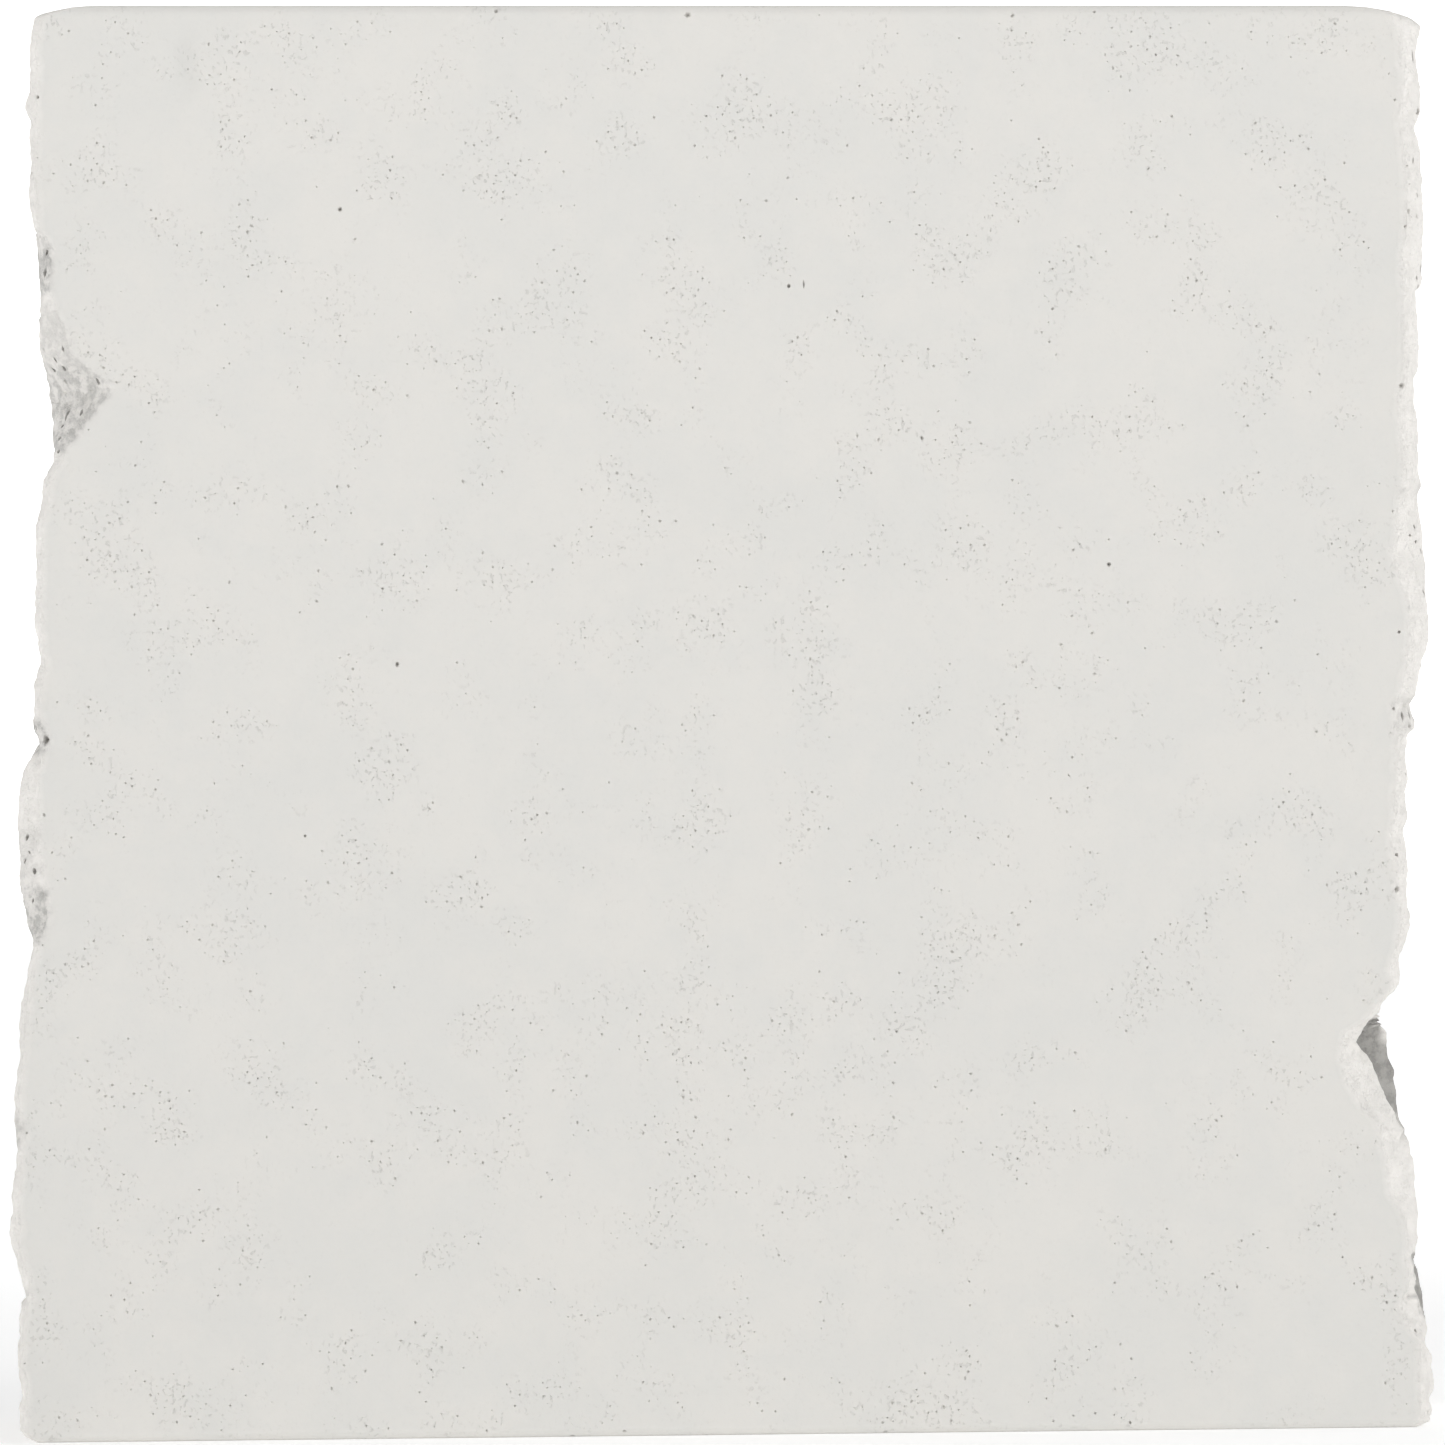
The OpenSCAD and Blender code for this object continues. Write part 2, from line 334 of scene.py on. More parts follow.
breakTones = {
    "grey": [   # painted shade: side, from height, to height, how grey
        (-1, 40.0, 43.6, 0.75), (-1, 43.4, 46.2, 0.4), (-1, 46.4, 48.3, 0.9), (-1, 48.1, 49.0, 0.55),
        (-1, 27.9, 29.2, 1.0), (-1, 22.7, 24.9, 0.3), (-1, 20.2, 22.5, 0.9), (-1, 11.9, 13.2, 0.6),
        (-1, 5.6, 6.2, 0.4), (1, 28.0, 29.5, 0.35), (1, 37.6, 38.2, 0.3)
    ],
    "greyEdge": 0.5,         # over how much height a grey stretch fades
    "greyReach": 1.2,        # how far behind the crest it goes on
    "pocketRows": 2.5,       # only rows whose crest lies this far behind the face can have a pocket
    "pocketFrom": (0.04, 0.2),   # how far a row's floor lies behind its rim where it is a pocket
    "pocketRagged": (0.5, 0.35, 0.05),   # its ragged edge: size, along the depth, and in that distance
    "pocketEdge": 0.14,      # over how much depth its tone starts
    "pale": (15.5, 2.15),    # above this height the pocket is pale again, closer to the side than this
    "paleEdge": (0.15, 0.2),     # over how much height and width it turns pale
    "sliver": [              # a sliver of painted shadow low on the right crest: height and width
        (4.3, 0.0), (4.7, 0.09), (5.2, 0.16), (5.5, 0.25),
        (5.75, 0.14), (6.6, 0.26), (6.9, 0.16), (7.1, 0.04)
    ],
    "sliverEdge": 0.05,
    "darkEnd": (0.2, 0.9),   # how far behind the crest the dark painted shade ends
    "darkRagged": (0.7, 0.9),    # size and depth of their ragged end
}


def pocketDepth(depths, insets, crestDepth):
    # how far each column of a row lies inside the straight line from the face's edge to the crest
    result = np.zeros_like(insets)
    upTo = int(np.searchsorted(depths, crestDepth))
    for c in range(upTo):
        for before in range(c):
            for after in range(c + 1, upTo + 1, 2):
                part = (depths[c] - depths[before]) / (depths[after] - depths[before])
                line = insets[before] + (insets[after] - insets[before]) * part
                result[c] = max(result[c], insets[c] - line)
    return result


# painted shade over one side: grey on slopes turned from the light, dark on shadowed pocket floors and the
# sliver; the fresh tone covers the whole break
def sideTones(side, facts):
    insets, levels, depths = facts["insets"], facts["levels"], facts["depths"]
    crestDepths = facts["crestDepths"][:, None]
    grey = np.zeros_like(insets)
    for at, low, high, strength in breakTones["grey"]:
        edge = breakTones["greyEdge"] / 2
        window = smooth(low - edge, low + edge, levels) * (1 - smooth(high - edge, high + edge, levels))
        grey = np.maximum(grey, strength * window * (at == side))
    grey *= 1 - smooth(0, breakTones["greyReach"], depths[None, :] - crestDepths)
    dark = np.zeros_like(insets)
    size, raggedDepth, raggedHollow = breakTones["pocketRagged"]
    for r in np.nonzero(facts["crestDepths"] > breakTones["pocketRows"])[0]:
        hollow = pocketDepth(depths, insets[r], facts["crestDepths"][r])
        deepest = hollow.max()
        ragged = noise.fractal(Vector((side * 3, 1, levels[r, 0])) / size, 0.7, 2.1, 3)
        lip = depths[np.argmax(hollow > 0.5 * deepest)] + raggedDepth * ragged
        dark[r] = smooth(*breakTones["pocketFrom"], deepest + raggedHollow * ragged * (deepest > 0.03))
        dark[r] *= smooth(lip - breakTones["pocketEdge"], lip + breakTones["pocketEdge"], depths)
    paleFrom, paleInset = breakTones["pale"]
    paleHigh, paleWide = breakTones["paleEdge"]
    pale = smooth(paleFrom - paleHigh, paleFrom + paleHigh, levels)
    dark *= 1 - pale * smooth(-paleInset, paleWide - paleInset, -insets)
    if side > 0:
        width = np.interp(levels, *np.array(breakTones["sliver"]).T, left=-1, right=-1)
        inside = width - (insets - facts["crests"][:, None])
        dark = np.maximum(dark, smooth(-breakTones["sliverEdge"], breakTones["sliverEdge"], inside))
    size, reach = breakTones["darkRagged"]
    for r, c in np.argwhere(dark > 0):   # it ends raggedly, not far behind the crest
        behind = depths[c] - facts["crestDepths"][r]
        behind += reach * noise.fractal(Vector((side * 3, depths[c], levels[r, c])) / size, 0.7, 2.1, 3)
        dark[r, c] *= 1 - smooth(*breakTones["darkEnd"], behind)
    # the fresh tone: whiter broken chalk over the whole break, partly a painted highlight on it
    return {"grey": grey, "dark": dark, "freshAndHighlight": np.ones_like(insets)}


toneNames = ("grey", "dark", "freshAndHighlight")


class Skin:   # collects the shell's points, their tones, and its faces
    def __init__(self):
        self.points, self.tones, self.faces, self.cast = [], [], [], []

    def place(self, x, y, z, tones=None):   # arrays of one shape, returns the points' numbers
        start = len(self.points)
        self.points.extend(np.stack([x.ravel(), y.ravel(), z.ravel()], axis=1))
        tones = tones or {name: np.zeros_like(x) for name in toneNames}
        self.tones.extend(np.stack([tones[name].ravel() for name in toneNames], axis=1))
        return np.arange(start, start + x.size).reshape(x.shape)

    def face(self, corners, cast=False):
        self.faces.append([int(number) for number in corners])
        self.cast.append(cast)

    def grid(self, numbers):
        for a, b in zip(numbers[:-1], numbers[1:]):
            for k in range(len(a) - 1):
                self.face([a[k], a[k + 1], b[k + 1], b[k]])


def bandInsets(side, end, edge, nearest):
    # insets of the three columns that round a face's edge, from the flat face outwards
    places = [Vector((side * 7 + 31 * end, 0, z)) / shell["raggedSize"] for z in heights]
    ragged = np.array([noise.fractal(place, 0.6, 2.1, 4) for place in places])
    band = np.array(shell["edgeBand"])[:, 0]
    result = (edge + shell["ragged"] * ragged)[:, None] + band[None, :]
    result[:, 1:] = np.maximum(result[:, 1:], nearest[:, None] + shell["bandClear"])
    result[:, 0] = result[:, 1] + band[0] - band[1]
    return result


def buildSide(skin, side):
    depths = np.concatenate([fineDepths, coarseDepths])
    insets, levels = sampleSide(side, depths)
    edges = sampleSide(side, np.array([shell["skin"], deep - shell["skin"]]))[0]
    slope = depths < shell["fineReach"]
    facts = {
        "insets": insets, "levels": levels, "depths": depths,
        "crests": insets[:, slope].min(axis=1),
        "crestDepths": depths[slope][insets[:, slope].argmin(axis=1)],
    }
    tones = sideTones(side, facts)
    insets = insets + breakSide(side, facts, tones)
    frontBand = bandInsets(side, 0, edges[:, 0], insets[:, 0])
    backBand = bandInsets(side, 1, edges[:, 1], insets[:, -1])[:, ::-1]
    allInsets = np.concatenate([frontBand, insets, backBand], axis=1)
    behind = np.array(shell["edgeBand"])[:, 1]
    allDepths = np.concatenate([behind, depths, deep - behind[::-1]])
    bandCount = len(behind)
    padding = ((0, 0), (bandCount, bandCount))
    tones = {name: np.pad(tone, padding, mode="edge") for name, tone in tones.items()}
    for tone in tones.values():   # the band at the edge goes from the cast skin to the break, and its whiter broken colour there is partly a painted highlight along the edge
        tone[:, [0, -1]] = 0
        tone[[0, -1]] = 0
        tone[:, [1, -2]] *= shell["bandTone"]
    x = side * (halfWide - allInsets)
    z = heights[:, None] + tilt[:, None] * topSlope * x
    y = (allDepths[None, :] - halfDeep) * (1 - 2 * offsets[:, None] / deep)
    fineCount = bandCount + len(fineDepths)
    numbers = np.full(x.shape, -1)
    for rows, columns in ((slice(None), slice(fineCount)), (slice(None, None, 2), slice(fineCount, None))):
        part = {name: tone[rows, columns] for name, tone in tones.items()}
        numbers[rows, columns] = skin.place(x[rows, columns], y[rows, columns], z[rows, columns], part)
        skin.grid(numbers[rows, columns])
    for r in range(0, len(heights) - 2, 2):   # the seam between fine and coarse columns
        a, b, c = numbers[r:r + 3, fineCount - 1]
        skin.face([a, numbers[r, fineCount], numbers[r + 2, fineCount], c, b])
    return numbers, x


def arrisStrip(skin, left, right, rows, column, yOf):
    # the rounded arris between the two sides, along one face, for the given rows
    (leftNumbers, leftX), (rightNumbers, rightX) = left, right
    count = round(2 * halfWide / shell["arrisStep"])
    part = np.linspace(0, 1, count + 1)[None, :]
    x = leftX[rows, column][:, None] * (1 - part) + rightX[rows, column][:, None] * part
    z = heights[rows][:, None] + tilt[rows][:, None] * topSlope * x
    y = np.repeat(yOf[rows][:, None], count + 1, axis=1)
    inner = skin.place(x[:, 1:-1], y[:, 1:-1], z[:, 1:-1])
    ends = [leftNumbers[rows, column][:, None], rightNumbers[rows, column][:, None]]
    numbers = np.concatenate([ends[0], inner, ends[1]], axis=1)
    skin.grid(numbers)
    return numbers


def buildShell():
    skin = Skin()
    left, right = buildSide(skin, -1), buildSide(skin, 1)
    print("broken sides sampled")
    rows = len(heights)
    low = np.arange(0, shell["arrisRows"] + 1)
    high = np.arange(rows - shell["arrisRows"] - 1, rows)
    middle = np.arange(low[-1], high[0] + 1)
    caps = {}
    for name, column, step in (("front", 0, 1), ("back", -1, 2)):
        yOf = (offsets - halfDeep) * (1 if name == "front" else -1)
        bottomStrip = arrisStrip(skin, left, right, low[::step], column, yOf)
        topStrip = arrisStrip(skin, left, right, high[::step], column, yOf)
        leftEdge = left[0][middle[::step], column][1:-1]
        rightEdge = right[0][middle[::step], column][1:-1]
        outline = [*bottomStrip[-1], *rightEdge, *topStrip[0][::-1], *leftEdge[::-1]]
        skin.face(outline, cast=True)
        caps[name] = (bottomStrip[0], topStrip[-1])
    for row, end in ((0, 0), (-1, 1)):
        front, back = caps["front"][end], caps["back"][end]
        skin.face([*front, *right[0][row][1:-1], *back[::-1], *left[0][row][::-1][1:-1]], cast=True)
    return skin


def makeObject(name, points, faces):
    mesh = bpy.data.meshes.new(name)
    mesh.from_pydata(points, [], faces)
    made = bpy.data.objects.new(name, mesh)
    bpy.context.scene.collection.objects.link(made)
    return made


def turnOutwards(mesh):
    shape = bmesh.new()
    shape.from_mesh(mesh)
    bmesh.ops.recalc_face_normals(shape, faces=shape.faces)
    shape.to_mesh(mesh)
    shape.free()


skin = buildShell()
block = makeObject("chalkBlock", [tuple(p * mm) for p in skin.points], skin.faces)
turnOutwards(block.data)
castFlag = block.data.attributes.new("cast", "BOOLEAN", "FACE")
castFlag.data.foreach_set("value", skin.cast)
print("shell built", len(skin.points), len(skin.faces))


# Pores in the cast faces and pits in the broken sides, thinned out in clouds and cut in

castPores = {
    "Spacing": 0.26 * mm,
    "Share": 0.35,           # of the places, in the middle of a cloud
    "Front Share": 0.8,      # the same on the front
    "Cloud Size": 2.6 * mm,
    "Cloud Start": 0.46,
    "Smallest": 0.035 * mm,  # radius
    "Largest": 0.085 * mm,
    "Depth": 1.4,            # in radiuses
    "Tone": 0.36,            # painted shade at the bottom of a pore: how dark it is
    "Seed": 11,
}
breakPits = {
    "Spacing": 0.55 * mm,
    "Share": 0.4,
    "Cloud Size": 3 * mm,
    "Cloud Start": 0.42,
    "Smallest": 0.05 * mm,
    "Largest": 0.17 * mm,
    "Depth": 1.5,
    # painted shade at the bottom of a pit: how dark it is
    "Tone": 0.6,
    "Seed": 23,
}
poreKinds = {"Cast": castPores, "Break": breakPits}
porePlan = {
    "cloudFull": 0.7,        # strength of the cloud noise at which the share is reached
    "crowding": 1.5,         # places offered, per square of the spacing
    "sides": 5,              # of a pore's cone
    "sunk": 0.85,            # how much of the cone's height lies below the surface
    "stretch": (0.6, 1.5),   # length over width; longer pores of one layer would cross
}

# Single pits that are larger or longer than the rest: inset from a side (on the face: place from the
# middle), height, radius, length over width
sidePits = {
    -1: [
        (2.0, 48.1, 0.1, 1.3), (1.85, 47.3, 0.13, 2.6), (2.25, 43.75, 0.1, 1.8), (2.15, 43.4, 0.14, 1),
        (2.6, 43.4, 0.1, 2), (2.6, 44.2, 0.08, 2.4), (2.72, 41.6, 0.09, 6), (2.5, 41.1, 0.1, 1),
        (2.4, 40.6, 0.1, 1.5), (2.35, 40.05, 0.1, 1), (4.0, 42.85, 0.1, 2), (3.3, 41.6, 0.07, 5),
        (1.72, 28.4, 0.17, 1.3), (1.3, 28.95, 0.1, 2.6), (0.9, 24.5, 0.13, 1.4), (1.0, 23.85, 0.1, 1),
        (0.8, 23.5, 0.1, 1.4), (1.2, 23.1, 0.14, 1), (1.1, 21.9, 0.12, 1.2), (1.4, 51.3, 0.09, 1)
    ],
    1: [
        (0.42, 55.4, 0.08, 4), (0.2, 53.2, 0.15, 1.2), (0.15, 46.9, 0.1, 2), (0.35, 46.45, 0.1, 1),
        (0.3, 46.1, 0.1, 1.5), (1.25, 32.15, 0.08, 1.2), (0.2, 33.75, 0.1, 2), (0.28, 35.4, 0.08, 2),
        (0.55, 36.4, 0.1, 1), (0.75, 36.05, 0.08, 1), (0.5, 35.8, 0.08, 1), (1.5, 29.05, 0.08, 1),
        (1.15, 28.8, 0.08, 3), (0.85, 28.8, 0.08, 3), (1.03, 26.4, 0.08, 1), (1.45, 23.15, 0.1, 1),
        (0.9, 3.9, 0.09, 1), (0.75, 4.8, 0.08, 4), (0.45, 51.2, 0.06, 3), (0.3, 49.8, 0.06, 2)
    ],
}
facePits = [
    (-15.0, 49.7, 0.1, 1.1), (3.1, 46.4, 0.1, 1), (3.7, 46.45, 0.05, 4), (15.9, 35.0, 0.1, 1),
    (-12.9, 31.3, 0.1, 1.4), (-16.7, 24.4, 0.07, 1), (8.4, 40.2, 0.07, 1.5)
]
pitShape = {
    "around": 7,             # points round a pit's widest ring
    "tip": 1.5,              # how far it stands out of the surface, in radiuses
    "ring": (1.1, 0.3),      # size of the ring, and how far it stands out
    "depth": 2.2,
    "wobble": 0.35,          # unevenness of the ring
    "tone": 0.9,             # painted shade inside it: how dark
}


def singlePits(shellMesh):
    # one closed spindle at each place, through the surface that is seen there from the front
    surface = BVHTree.FromPolygons(
        [v.co / mm for v in shellMesh.vertices], [p.vertices[:] for p in shellMesh.polygons])
    places = []
    for side, pits in sidePits.items():
        places += [(side * (halfWide - inset), *rest) for inset, *rest in pits]
    points, faces = [], []
    around, (ringSize, ringOut) = pitShape["around"], pitShape["ring"]
    for number, (x, z, radius, length) in enumerate(places + facePits):
        at, normal, _, _ = surface.ray_cast(Vector((x, -halfDeep - 2, z)), Vector((0, 1, 0)))
        inward = (Vector((0, 1, 0)) - normal).normalized()
        aside = inward.cross(Vector((0, 0, 1))).normalized()
        up = aside.cross(inward) * -1
        start = len(points)
        points.append(at - inward * radius * pitShape["tip"])
        for k in range(around):
            turn = 2 * math.pi * k / around
            uneven = noise.noise(Vector((number * 3.7, k * 1.9, 0)))
            reach = radius * (1 + pitShape["wobble"] * uneven)
            ring = aside * (reach * math.cos(turn)) + up * (reach * length * math.sin(turn))
            points.append(at + ring * ringSize - inward * radius * ringOut)
        points.append(at + inward * radius * pitShape["depth"])
        for k in range(around):
            a, b = start + 1 + k, start + 1 + (k + 1) % around
            faces += [(start, a, b), (start + around + 1, b, a)]
    made = makeObject("singlePits", [tuple(p * mm) for p in points], faces)
    turnOutwards(made.data)
    return made


def poreLayer(graph, source, onCast, given):
    chosen = graph.add("GeometryNodeInputNamedAttribute", {"data_type": "BOOLEAN"}, {"Name": "cast"})
    if not onCast:
        chosen = graph.add("FunctionNodeBooleanMath", {"operation": "NOT"}, [chosen])
    density = porePlan["crowding"] / (given["Spacing"] * given["Spacing"])
    scatter = {"distribute_method": "POISSON"}
    points = graph.add("GeometryNodeDistributePointsOnFaces", scatter, {
        "Mesh": source, "Selection": chosen, "Distance Min": given["Spacing"],
        "Density Max": density, "Seed": given["Seed"]})
    turn = Plug(graph, points.socket.node.outputs["Rotation"])

    def chance(low, high, step):
        values = {"Min": low, "Max": high, "Seed": given["Seed"] + step}
        return graph.add("FunctionNodeRandomValue", {"data_type": "FLOAT"}, values, 1)

    cloud = graph.add("ShaderNodeTexNoise", {}, {
        "Scale": 1 / given["Cloud Size"], "Detail": 3.0, "Roughness": 0.6})
    share = given["Share"]
    if onCast:
        place = graph.add("GeometryNodeInputPosition")
        onFront = graph.add("ShaderNodeSeparateXYZ", {}, [place], 1) < -0.99 * halfDeep * mm
        share = share + onFront * (given["Front Share"] - share)
    kept = chance(0.0, 1.0, 1) < cloud.ramp(given["Cloud Start"], porePlan["cloudFull"]) * share
    pit = graph.add("GeometryNodeMeshCone", {}, {
        "Vertices": porePlan["sides"], "Radius Top": 1.0, "Radius Bottom": 0.0, "Depth": 1.0})
    pit = graph.add("GeometryNodeTransform", {}, {"Geometry": pit, "Translation": (0, 0, -porePlan["sunk"])})
    draw = chance(0.0, 1.0, 2)   # squared, so that most pores are small
    radius = given["Smallest"] + (given["Largest"] - given["Smallest"]) * draw * draw
    longer = radius * chance(*porePlan["stretch"], 3)
    size = graph.add("ShaderNodeCombineXYZ", {}, [longer, radius, radius * given["Depth"]])
    pits = graph.add("GeometryNodeInstanceOnPoints", {}, {
        "Points": points, "Selection": kept, "Instance": pit, "Rotation": turn, "Scale": size})
    spin = graph.add("ShaderNodeCombineXYZ", {}, [0.0, 0.0, chance(0.0, 6.28, 4)])
    pits = graph.add("GeometryNodeRotateInstances", {}, {"Instances": pits, "Rotation": spin})
    return poreTone(graph, graph.add("GeometryNodeRealizeInstances", {}, [pits]), given["Tone"])


# the pits' painted shade, kept on their points for the material
def poreTone(graph, pits, tone):
    store = {"data_type": "FLOAT", "domain": "POINT"}
    values = {"Geometry": pits, "Name": "pore", "Value": tone}
    return graph.add("GeometryNodeStoreNamedAttribute", store, values)


def poreTree(material):
    tree = bpy.data.node_groups.new("pores", "GeometryNodeTree")
    graph = Graph(tree)
    tree.interface.new_socket("Geometry", in_out="OUTPUT", socket_type="NodeSocketGeometry")
    tree.interface.new_socket("Geometry", in_out="INPUT", socket_type="NodeSocketGeometry")
    tree.interface.new_socket("Single Pits", in_out="INPUT", socket_type="NodeSocketObject")
    for kind, settings in poreKinds.items():
        for name, value in settings.items():
            socketType = "NodeSocketInt" if isinstance(value, int) else "NodeSocketFloat"
            tree.interface.new_socket(f"{kind} {name}", in_out="INPUT", socket_type=socketType)
    entry = tree.nodes.new("NodeGroupInput")
    source = Plug(graph, entry.outputs["Geometry"])
    values = {"Object": Plug(graph, entry.outputs["Single Pits"])}
    single = graph.add("GeometryNodeObjectInfo", {}, values, "Geometry")
    layers = [poreTone(graph, single, pitShape["tone"])]
    for kind, settings in poreKinds.items():
        given = {name: Plug(graph, entry.outputs[f"{kind} {name}"]) for name in settings}
        layers.append(poreLayer(graph, source, kind == "Cast", given))
    cut = source
    for layer in layers:   # one after the other, because pits of two layers may cross
        solver = {"operation": "DIFFERENCE", "solver": "MANIFOLD"}
        cut = graph.add("GeometryNodeMeshBoolean", solver, {"Mesh 1": cut, "Mesh 2": layer})
    whole = graph.add("GeometryNodeRealizeInstances", {}, [cut])
    painted = graph.add("GeometryNodeSetMaterial", {}, {"Geometry": whole, "Material": material})
    tree.links.new(painted.socket, tree.nodes.new("NodeGroupOutput").inputs[0])
    return tree


def cutPores(block, material):
    single = singlePits(block.data)
    tree = poreTree(material)
    modifier = block.modifiers.new("pores", "NODES")
    modifier.node_group = tree
    keys = {item.name: item.identifier for item in tree.interface.items_tree if item.in_out == "INPUT"}
    modifier[keys["Single Pits"]] = single
    for kind, settings in poreKinds.items():
        for name, value in settings.items():
            modifier[keys[f"{kind} {name}"]] = value
    graph = bpy.context.evaluated_depsgraph_get()
    result = bpy.data.meshes.new_from_object(block.evaluated_get(graph))
    result.materials.pop(index=0)   # the empty slot of the faces from before the cut
    block.modifiers.clear()
    block.data = result
    bpy.data.objects.remove(single)
    print("pores cut", len(result.vertices))


# Dry chalk: a cast skin that clouds between cool and warm, whiter where it is freshly broken, which partly
# paints a highlight on the broken sides; grey and dark tones on the break and the inside of the pores are
# painted shade

chalk = {
    "cool": (0.722, 0.714, 0.686, 1),
    "warm": (0.752, 0.735, 0.700, 1),
    # fresh: whiter broken chalk, made whiter still to stand in for the light on the broken sides (painted
    # highlight)
    "freshAndHighlight": (0.940, 0.914, 0.876, 1),
    # grey and dark: painted shade on the break
    "grey": (0.500, 0.494, 0.474, 1),
    "dark": (0.330, 0.322, 0.305, 1),
    "hollow": (0.360, 0.350, 0.330, 1),   # painted shade inside a pore
    "cloudSize": 5.0 * mm,
    "mottleSize": 1.1 * mm,
    "blotchSize": 0.4 * mm,
    "grainSize": 0.12 * mm,
    "fleckSize": 0.17 * mm,
    "fleckRelief": 0.02 * mm,
    "skinRelief": 0.012 * mm,
    "breakRelief": 0.07 * mm,
    "smudge": (-21.0, 55.6, 0.55, 1.5),   # middle and half sizes of a faint grey smudge, mm
    "smudgeShare": 0.12,
    "fleckShare": 0.22,      # how strongly the flecks colour the cast skin
}


def chalkMaterial():
    made = bpy.data.materials.new("chalk")
    made.use_nodes = True
    graph = Graph(made.node_tree)
    shader = made.node_tree.nodes["Principled BSDF"]
    place = graph.add("ShaderNodeTexCoord", {}, output=3)

    def texture(size, detail=3.0, rough=0.6, shift=0.0, stretch=(1, 1, 1)):
        moved = graph.add("ShaderNodeMapping", {}, {
            "Vector": place, "Location": (shift, 0, shift), "Scale": stretch})
        return graph.add("ShaderNodeTexNoise", {}, {
            "Vector": moved, "Scale": 1 / size, "Detail": detail, "Roughness": rough})

    def tone(name):
        return graph.add("ShaderNodeAttribute", {"attribute_name": name}, output=2)

    freshAndHighlight, grey, dark, pore = [tone(name) for name in ("freshAndHighlight", "grey", "dark", "pore")]
    clouds = texture(chalk["cloudSize"], 6.0, 0.65, 0.3).ramp(0.38, 0.62)
    mottle = texture(chalk["mottleSize"], 4.0, 0.6, 0.5).ramp(0.35, 0.65)
    blotches = texture(chalk["blotchSize"], 5.0, 0.7, 0.1, (1, 0.4, 0.8)).ramp(0.4, 0.62)
    grain = texture(chalk["grainSize"], 4.0, 0.7, 0.2)
    poreClouds = texture(castPores["Cloud Size"], 3.0, 0.6).ramp(castPores["Cloud Start"], 0.68)
    skin = graph.mix(clouds * 0.65 + mottle * 0.35, chalk["cool"], chalk["warm"])
    flecks = texture(chalk["fleckSize"], 2.0, 0.6, 0.7, (1, 1, 0.8)).ramp(0.57, 0.67)
    skinFlecks = flecks * (poreClouds * 0.9 + 0.1) * (1 - freshAndHighlight)
    skin = graph.mix(skinFlecks * chalk["fleckShare"], skin, chalk["hollow"])
    x, z = [graph.add("ShaderNodeSeparateXYZ", {}, [place], output) for output in (0, 2)]
    smudgeX, smudgeZ, smudgeWide, smudgeTall = [value * mm for value in chalk["smudge"]]
    aside, above = (x - smudgeX) / smudgeWide, (z - smudgeZ) / smudgeTall
    fromSmudge = graph.math("SQRT", aside * aside + above * above)
    smudge = (1 - (fromSmudge + mottle * 0.5).ramp(0.3, 1.5)) * (1 - freshAndHighlight)
    skin = graph.mix(smudge * chalk["smudgeShare"], skin, chalk["grey"])
    # the broken colour: whiter chalk, partly a painted highlight on the broken sides
    broken = graph.mix(mottle * 0.35, chalk["freshAndHighlight"], chalk["warm"])
    broken = graph.mix(flecks * blotches * 0.3, broken, chalk["grey"])
    colour = graph.mix(freshAndHighlight, skin, broken)
    # painted shade: grey on break slopes turned from the light, dark in the shadowed pocket and sliver, and
    # inside the pores
    colour = graph.mix(grey * (0.32 + 0.68 * blotches), colour, chalk["grey"])
    colour = graph.mix(dark * (0.8 + 0.2 * blotches), colour, chalk["dark"])
    colour = graph.mix(pore, colour, chalk["hollow"])
    made.node_tree.links.new(colour.socket, shader.inputs["Base Color"])
    relief = grain * chalk["skinRelief"] - skinFlecks * chalk["fleckRelief"]
    relief = relief + freshAndHighlight * (grain + blotches * 0.5) * chalk["breakRelief"]
    bump = graph.add("ShaderNodeBump", {}, {"Height": relief, "Distance": 1.0, "Strength": 1.0})
    made.node_tree.links.new(bump.socket, shader.inputs["Normal"])
    roughness = 0.86 + 0.12 * mottle
    made.node_tree.links.new(roughness.socket, shader.inputs["Roughness"])
    return made


marking = {
    "toneReach": 0.35,       # how far from the shell's own points a cut point still takes their tone
    "castSkin": 0.004,       # a point this close to a cast face's plane is on it
    "poreRim": 0.012,        # a cut point this close to the shell is on a pore's rim, not inside it
    "flatFrom": 0.9995,      # faces that turn this far towards an axis are the flat cast ones
    "sharpFrom": 40,         # degrees
}


def onCastFace(point):
    outside = max(abs(point.y) - halfDeep, -point.z, point.z - topAt(point.x))
    return outside > -marking["castSkin"]


def toneBlock(block, skin):
    # each point's tones, taken from the nearest point of the shell that was cut
    tree = KDTree(len(skin.points))
    for number, point in enumerate(skin.points):
        tree.insert(point, number)
    tree.balance()
    surface = BVHTree.FromPolygons(skin.points, skin.faces)
    tones = np.zeros((len(block.data.vertices), len(toneNames)))
    pore = block.data.attributes["pore"]
    for vertex in block.data.vertices:
        _, number, distance = tree.find(vertex.co / mm)
        if distance < marking["toneReach"] and not onCastFace(vertex.co / mm):
            tones[vertex.index] = skin.tones[number]
        if surface.find_nearest(vertex.co / mm)[3] < marking["poreRim"]:
            pore.data[vertex.index].value = 0
    for column, name in enumerate(toneNames):
        attribute = block.data.attributes.new(name, "FLOAT", "POINT")
        attribute.data.foreach_set("value", np.ascontiguousarray(tones[:, column], dtype=np.float32))


def shadeBlock(mesh):   # the cast faces flat, the rest smooth up to an angle
    normals = np.array([polygon.normal for polygon in mesh.polygons])
    turned = np.abs(normals[:, 1:]).max(axis=1)
    mesh.polygons.foreach_set("use_smooth", turned < marking["flatFrom"])
    mesh.set_sharp_from_angle(angle=math.radians(marking["sharpFrom"]))


cutPores(block, chalkMaterial())
toneBlock(block, skin)
shadeBlock(block.data)
print("tones set")


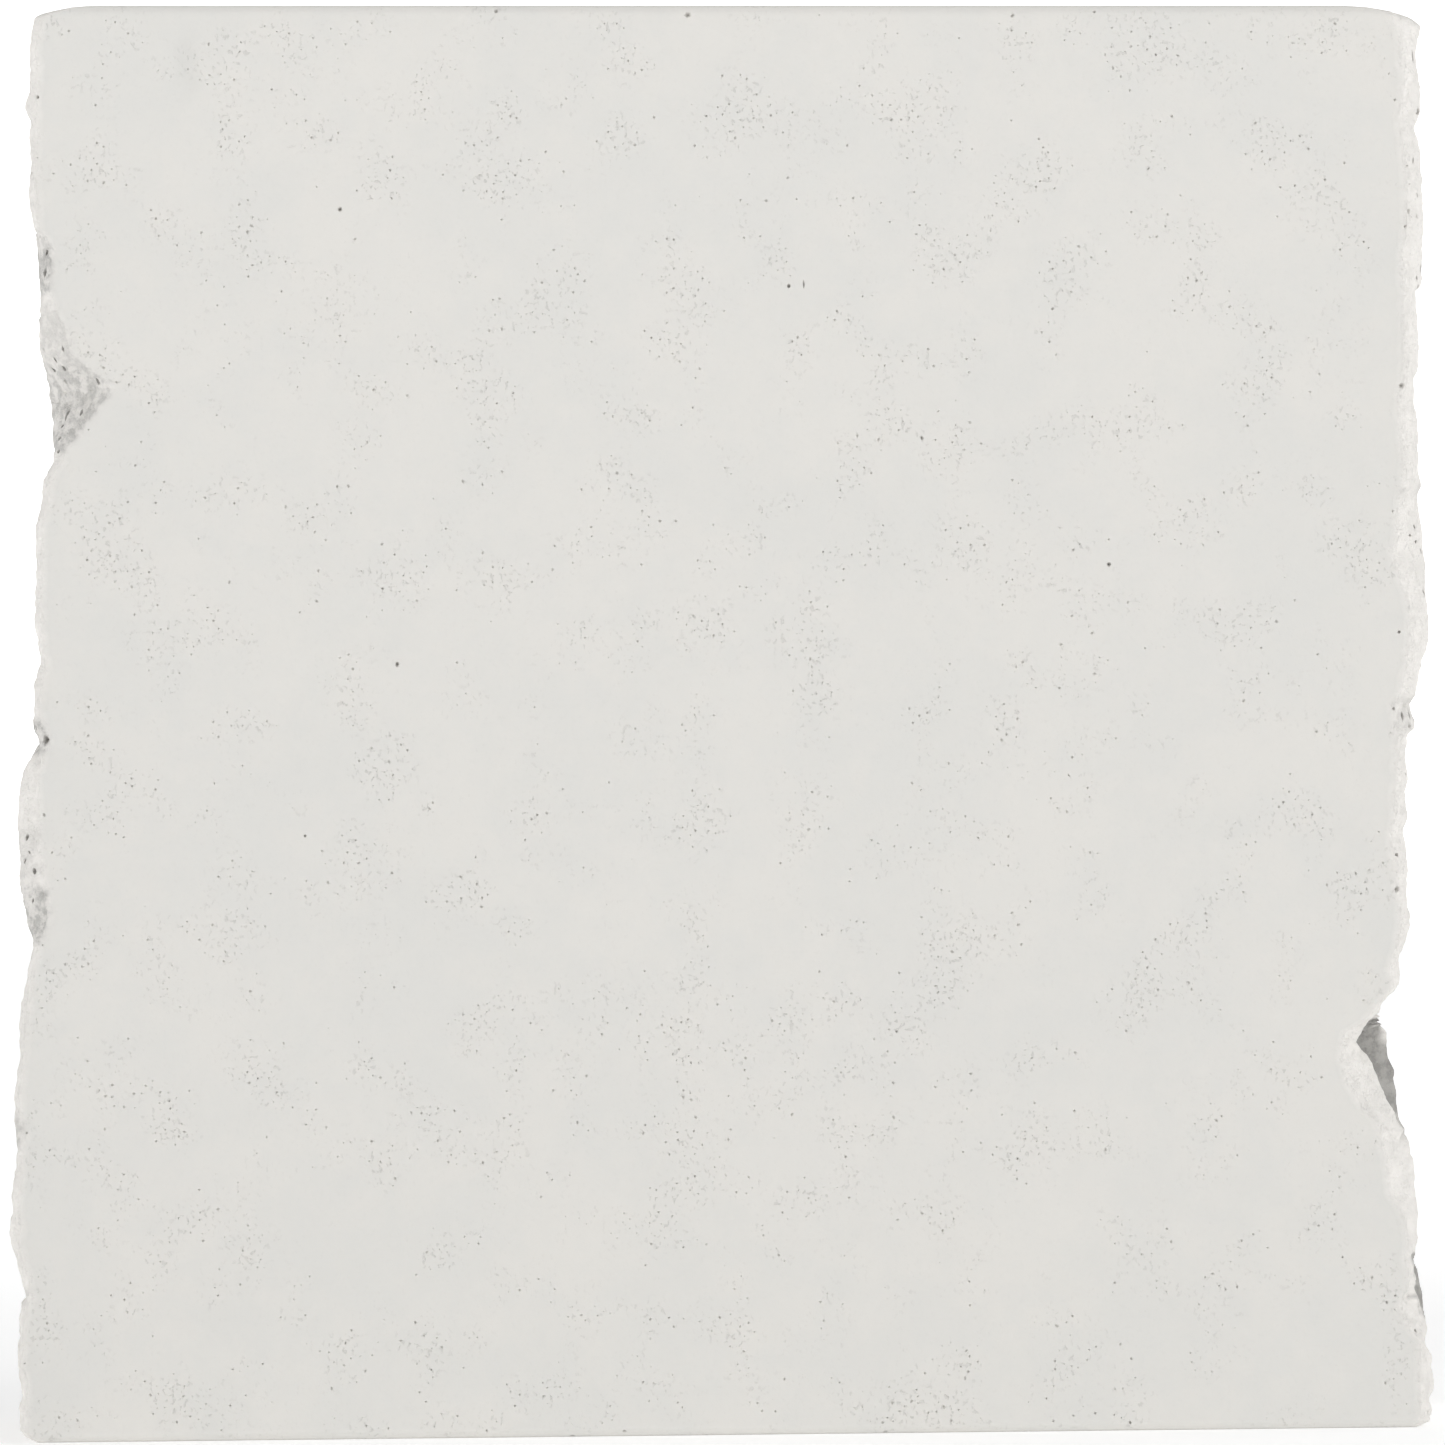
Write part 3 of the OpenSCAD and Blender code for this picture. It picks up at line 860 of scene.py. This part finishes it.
studio = {
    "floorRadius": 3.0,      # metres
    "wallDistance": 2.8,     # radius of the low round wall
    "wallHeight": 0.6,
    "wallSides": 48,
    "cameraDistance": 0.9,   # from the front face
    "viewWide": 1.0118,      # width of the view, in widths of the block
    "viewAside": 0.0038,     # centre of the view, right of the middle, in the same widths
    "viewHigh": 0.496,       # and its height, in heights of the block
    "roll": -0.65,           # degrees
    "lights": [              # place, power: in front, both sides, above
        ((0.35, -0.75, 0.75), 2.26), ((-1.0, -0.25, 0.3), 2.58),
        ((1.0, -0.25, 0.35), 2.12), ((0.1, 0.3, 1.0), 1.7)
    ],
    "lightSize": 0.5,
    "lightTarget": (0, 0, 0.03),
    "skyStrength": 0.295,
    "floorGlow": (0.64, 0.45),   # strength, and the share of it that is left close to the block
    "wallGlow": (0.75, 1.0),
    "glowReach": (0.05, 0.6),    # from and to which distance the floor's glow grows
}


def aimed(thing, place, target):
    thing.location = place
    thing.rotation_euler = (Vector(target) - Vector(place)).to_track_quat("-Z", "Y").to_euler()
    bpy.context.scene.collection.objects.link(thing)
    return thing


def makeCamera():
    low, high = cadBox
    wide, tall = high.x - low.x, high.z - low.z
    data = bpy.data.cameras.new("camera")
    data.lens = data.sensor_width * studio["cameraDistance"] / (wide * studio["viewWide"])
    data.clip_start, data.clip_end = 0.05, 20
    camera = bpy.data.objects.new("camera", data)
    x = (low.x + high.x) / 2 + wide * studio["viewAside"]
    z = low.z + tall * studio["viewHigh"]
    aimed(camera, (x, low.y - studio["cameraDistance"], z), (x, low.y, z))
    camera.rotation_euler.rotate_axis("Z", math.radians(studio["roll"]))
    bpy.context.scene.camera = camera


def paleMaterial(name, glow, nearShare):
    # glows less close to the block when nearShare is below 1, so that it casts little light on it
    made = bpy.data.materials.new(name)
    made.use_nodes = True
    graph = Graph(made.node_tree)
    shader = made.node_tree.nodes["Principled BSDF"]
    place = graph.add("ShaderNodeTexCoord", {}, output=3)
    away = graph.add("ShaderNodeVectorMath", {"operation": "LENGTH"}, [place], 1).ramp(*studio["glowReach"])
    shade = graph.mix(nearShare + (1 - nearShare) * away, (0, 0, 0, 1), (1, 1, 1, 1))
    made.node_tree.links.new(shade.socket, shader.inputs["Emission Color"])
    shader.inputs["Base Color"].default_value = (0.9, 0.9, 0.9, 1)
    shader.inputs["Roughness"].default_value = 0.9
    shader.inputs["Emission Strength"].default_value = glow
    return made


def makeStudio():
    r, wallRadius, h = studio["floorRadius"], studio["wallDistance"], studio["wallHeight"]
    z = cadBox[0].z
    floor = makeObject("floor", [(-r, -r, z), (r, -r, z), (r, r, z), (-r, r, z)], [(0, 1, 2, 3)])
    turns = [2 * math.pi * k / studio["wallSides"] for k in range(studio["wallSides"])]
    ring = [(wallRadius * math.cos(turn), wallRadius * math.sin(turn)) for turn in turns]
    points = [(*place, z) for place in ring] + [(*place, z + h) for place in ring]
    count = len(ring)
    faces = [(k, k + count, (k + 1) % count + count, (k + 1) % count) for k in range(count)]
    wall = makeObject("backdrop", points, faces)
    floor.data.materials.append(paleMaterial("paleFloor", *studio["floorGlow"]))
    wall.data.materials.append(paleMaterial("paleWall", *studio["wallGlow"]))
    for place, power in studio["lights"]:
        light = bpy.data.lights.new("softLight", "AREA")
        light.energy, light.size = power, studio["lightSize"]
        aimed(bpy.data.objects.new("softLight", light), place, studio["lightTarget"])
    world = bpy.data.worlds.new("softSky")
    world.use_nodes = True
    world.node_tree.nodes["Background"].inputs["Color"].default_value = (1, 1, 1, 1)
    world.node_tree.nodes["Background"].inputs["Strength"].default_value = studio["skyStrength"]
    bpy.context.scene.world = world
    bpy.context.scene.view_settings.view_transform = "Standard"


makeCamera()
makeStudio()
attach(block, "root")
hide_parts("chalk_block")
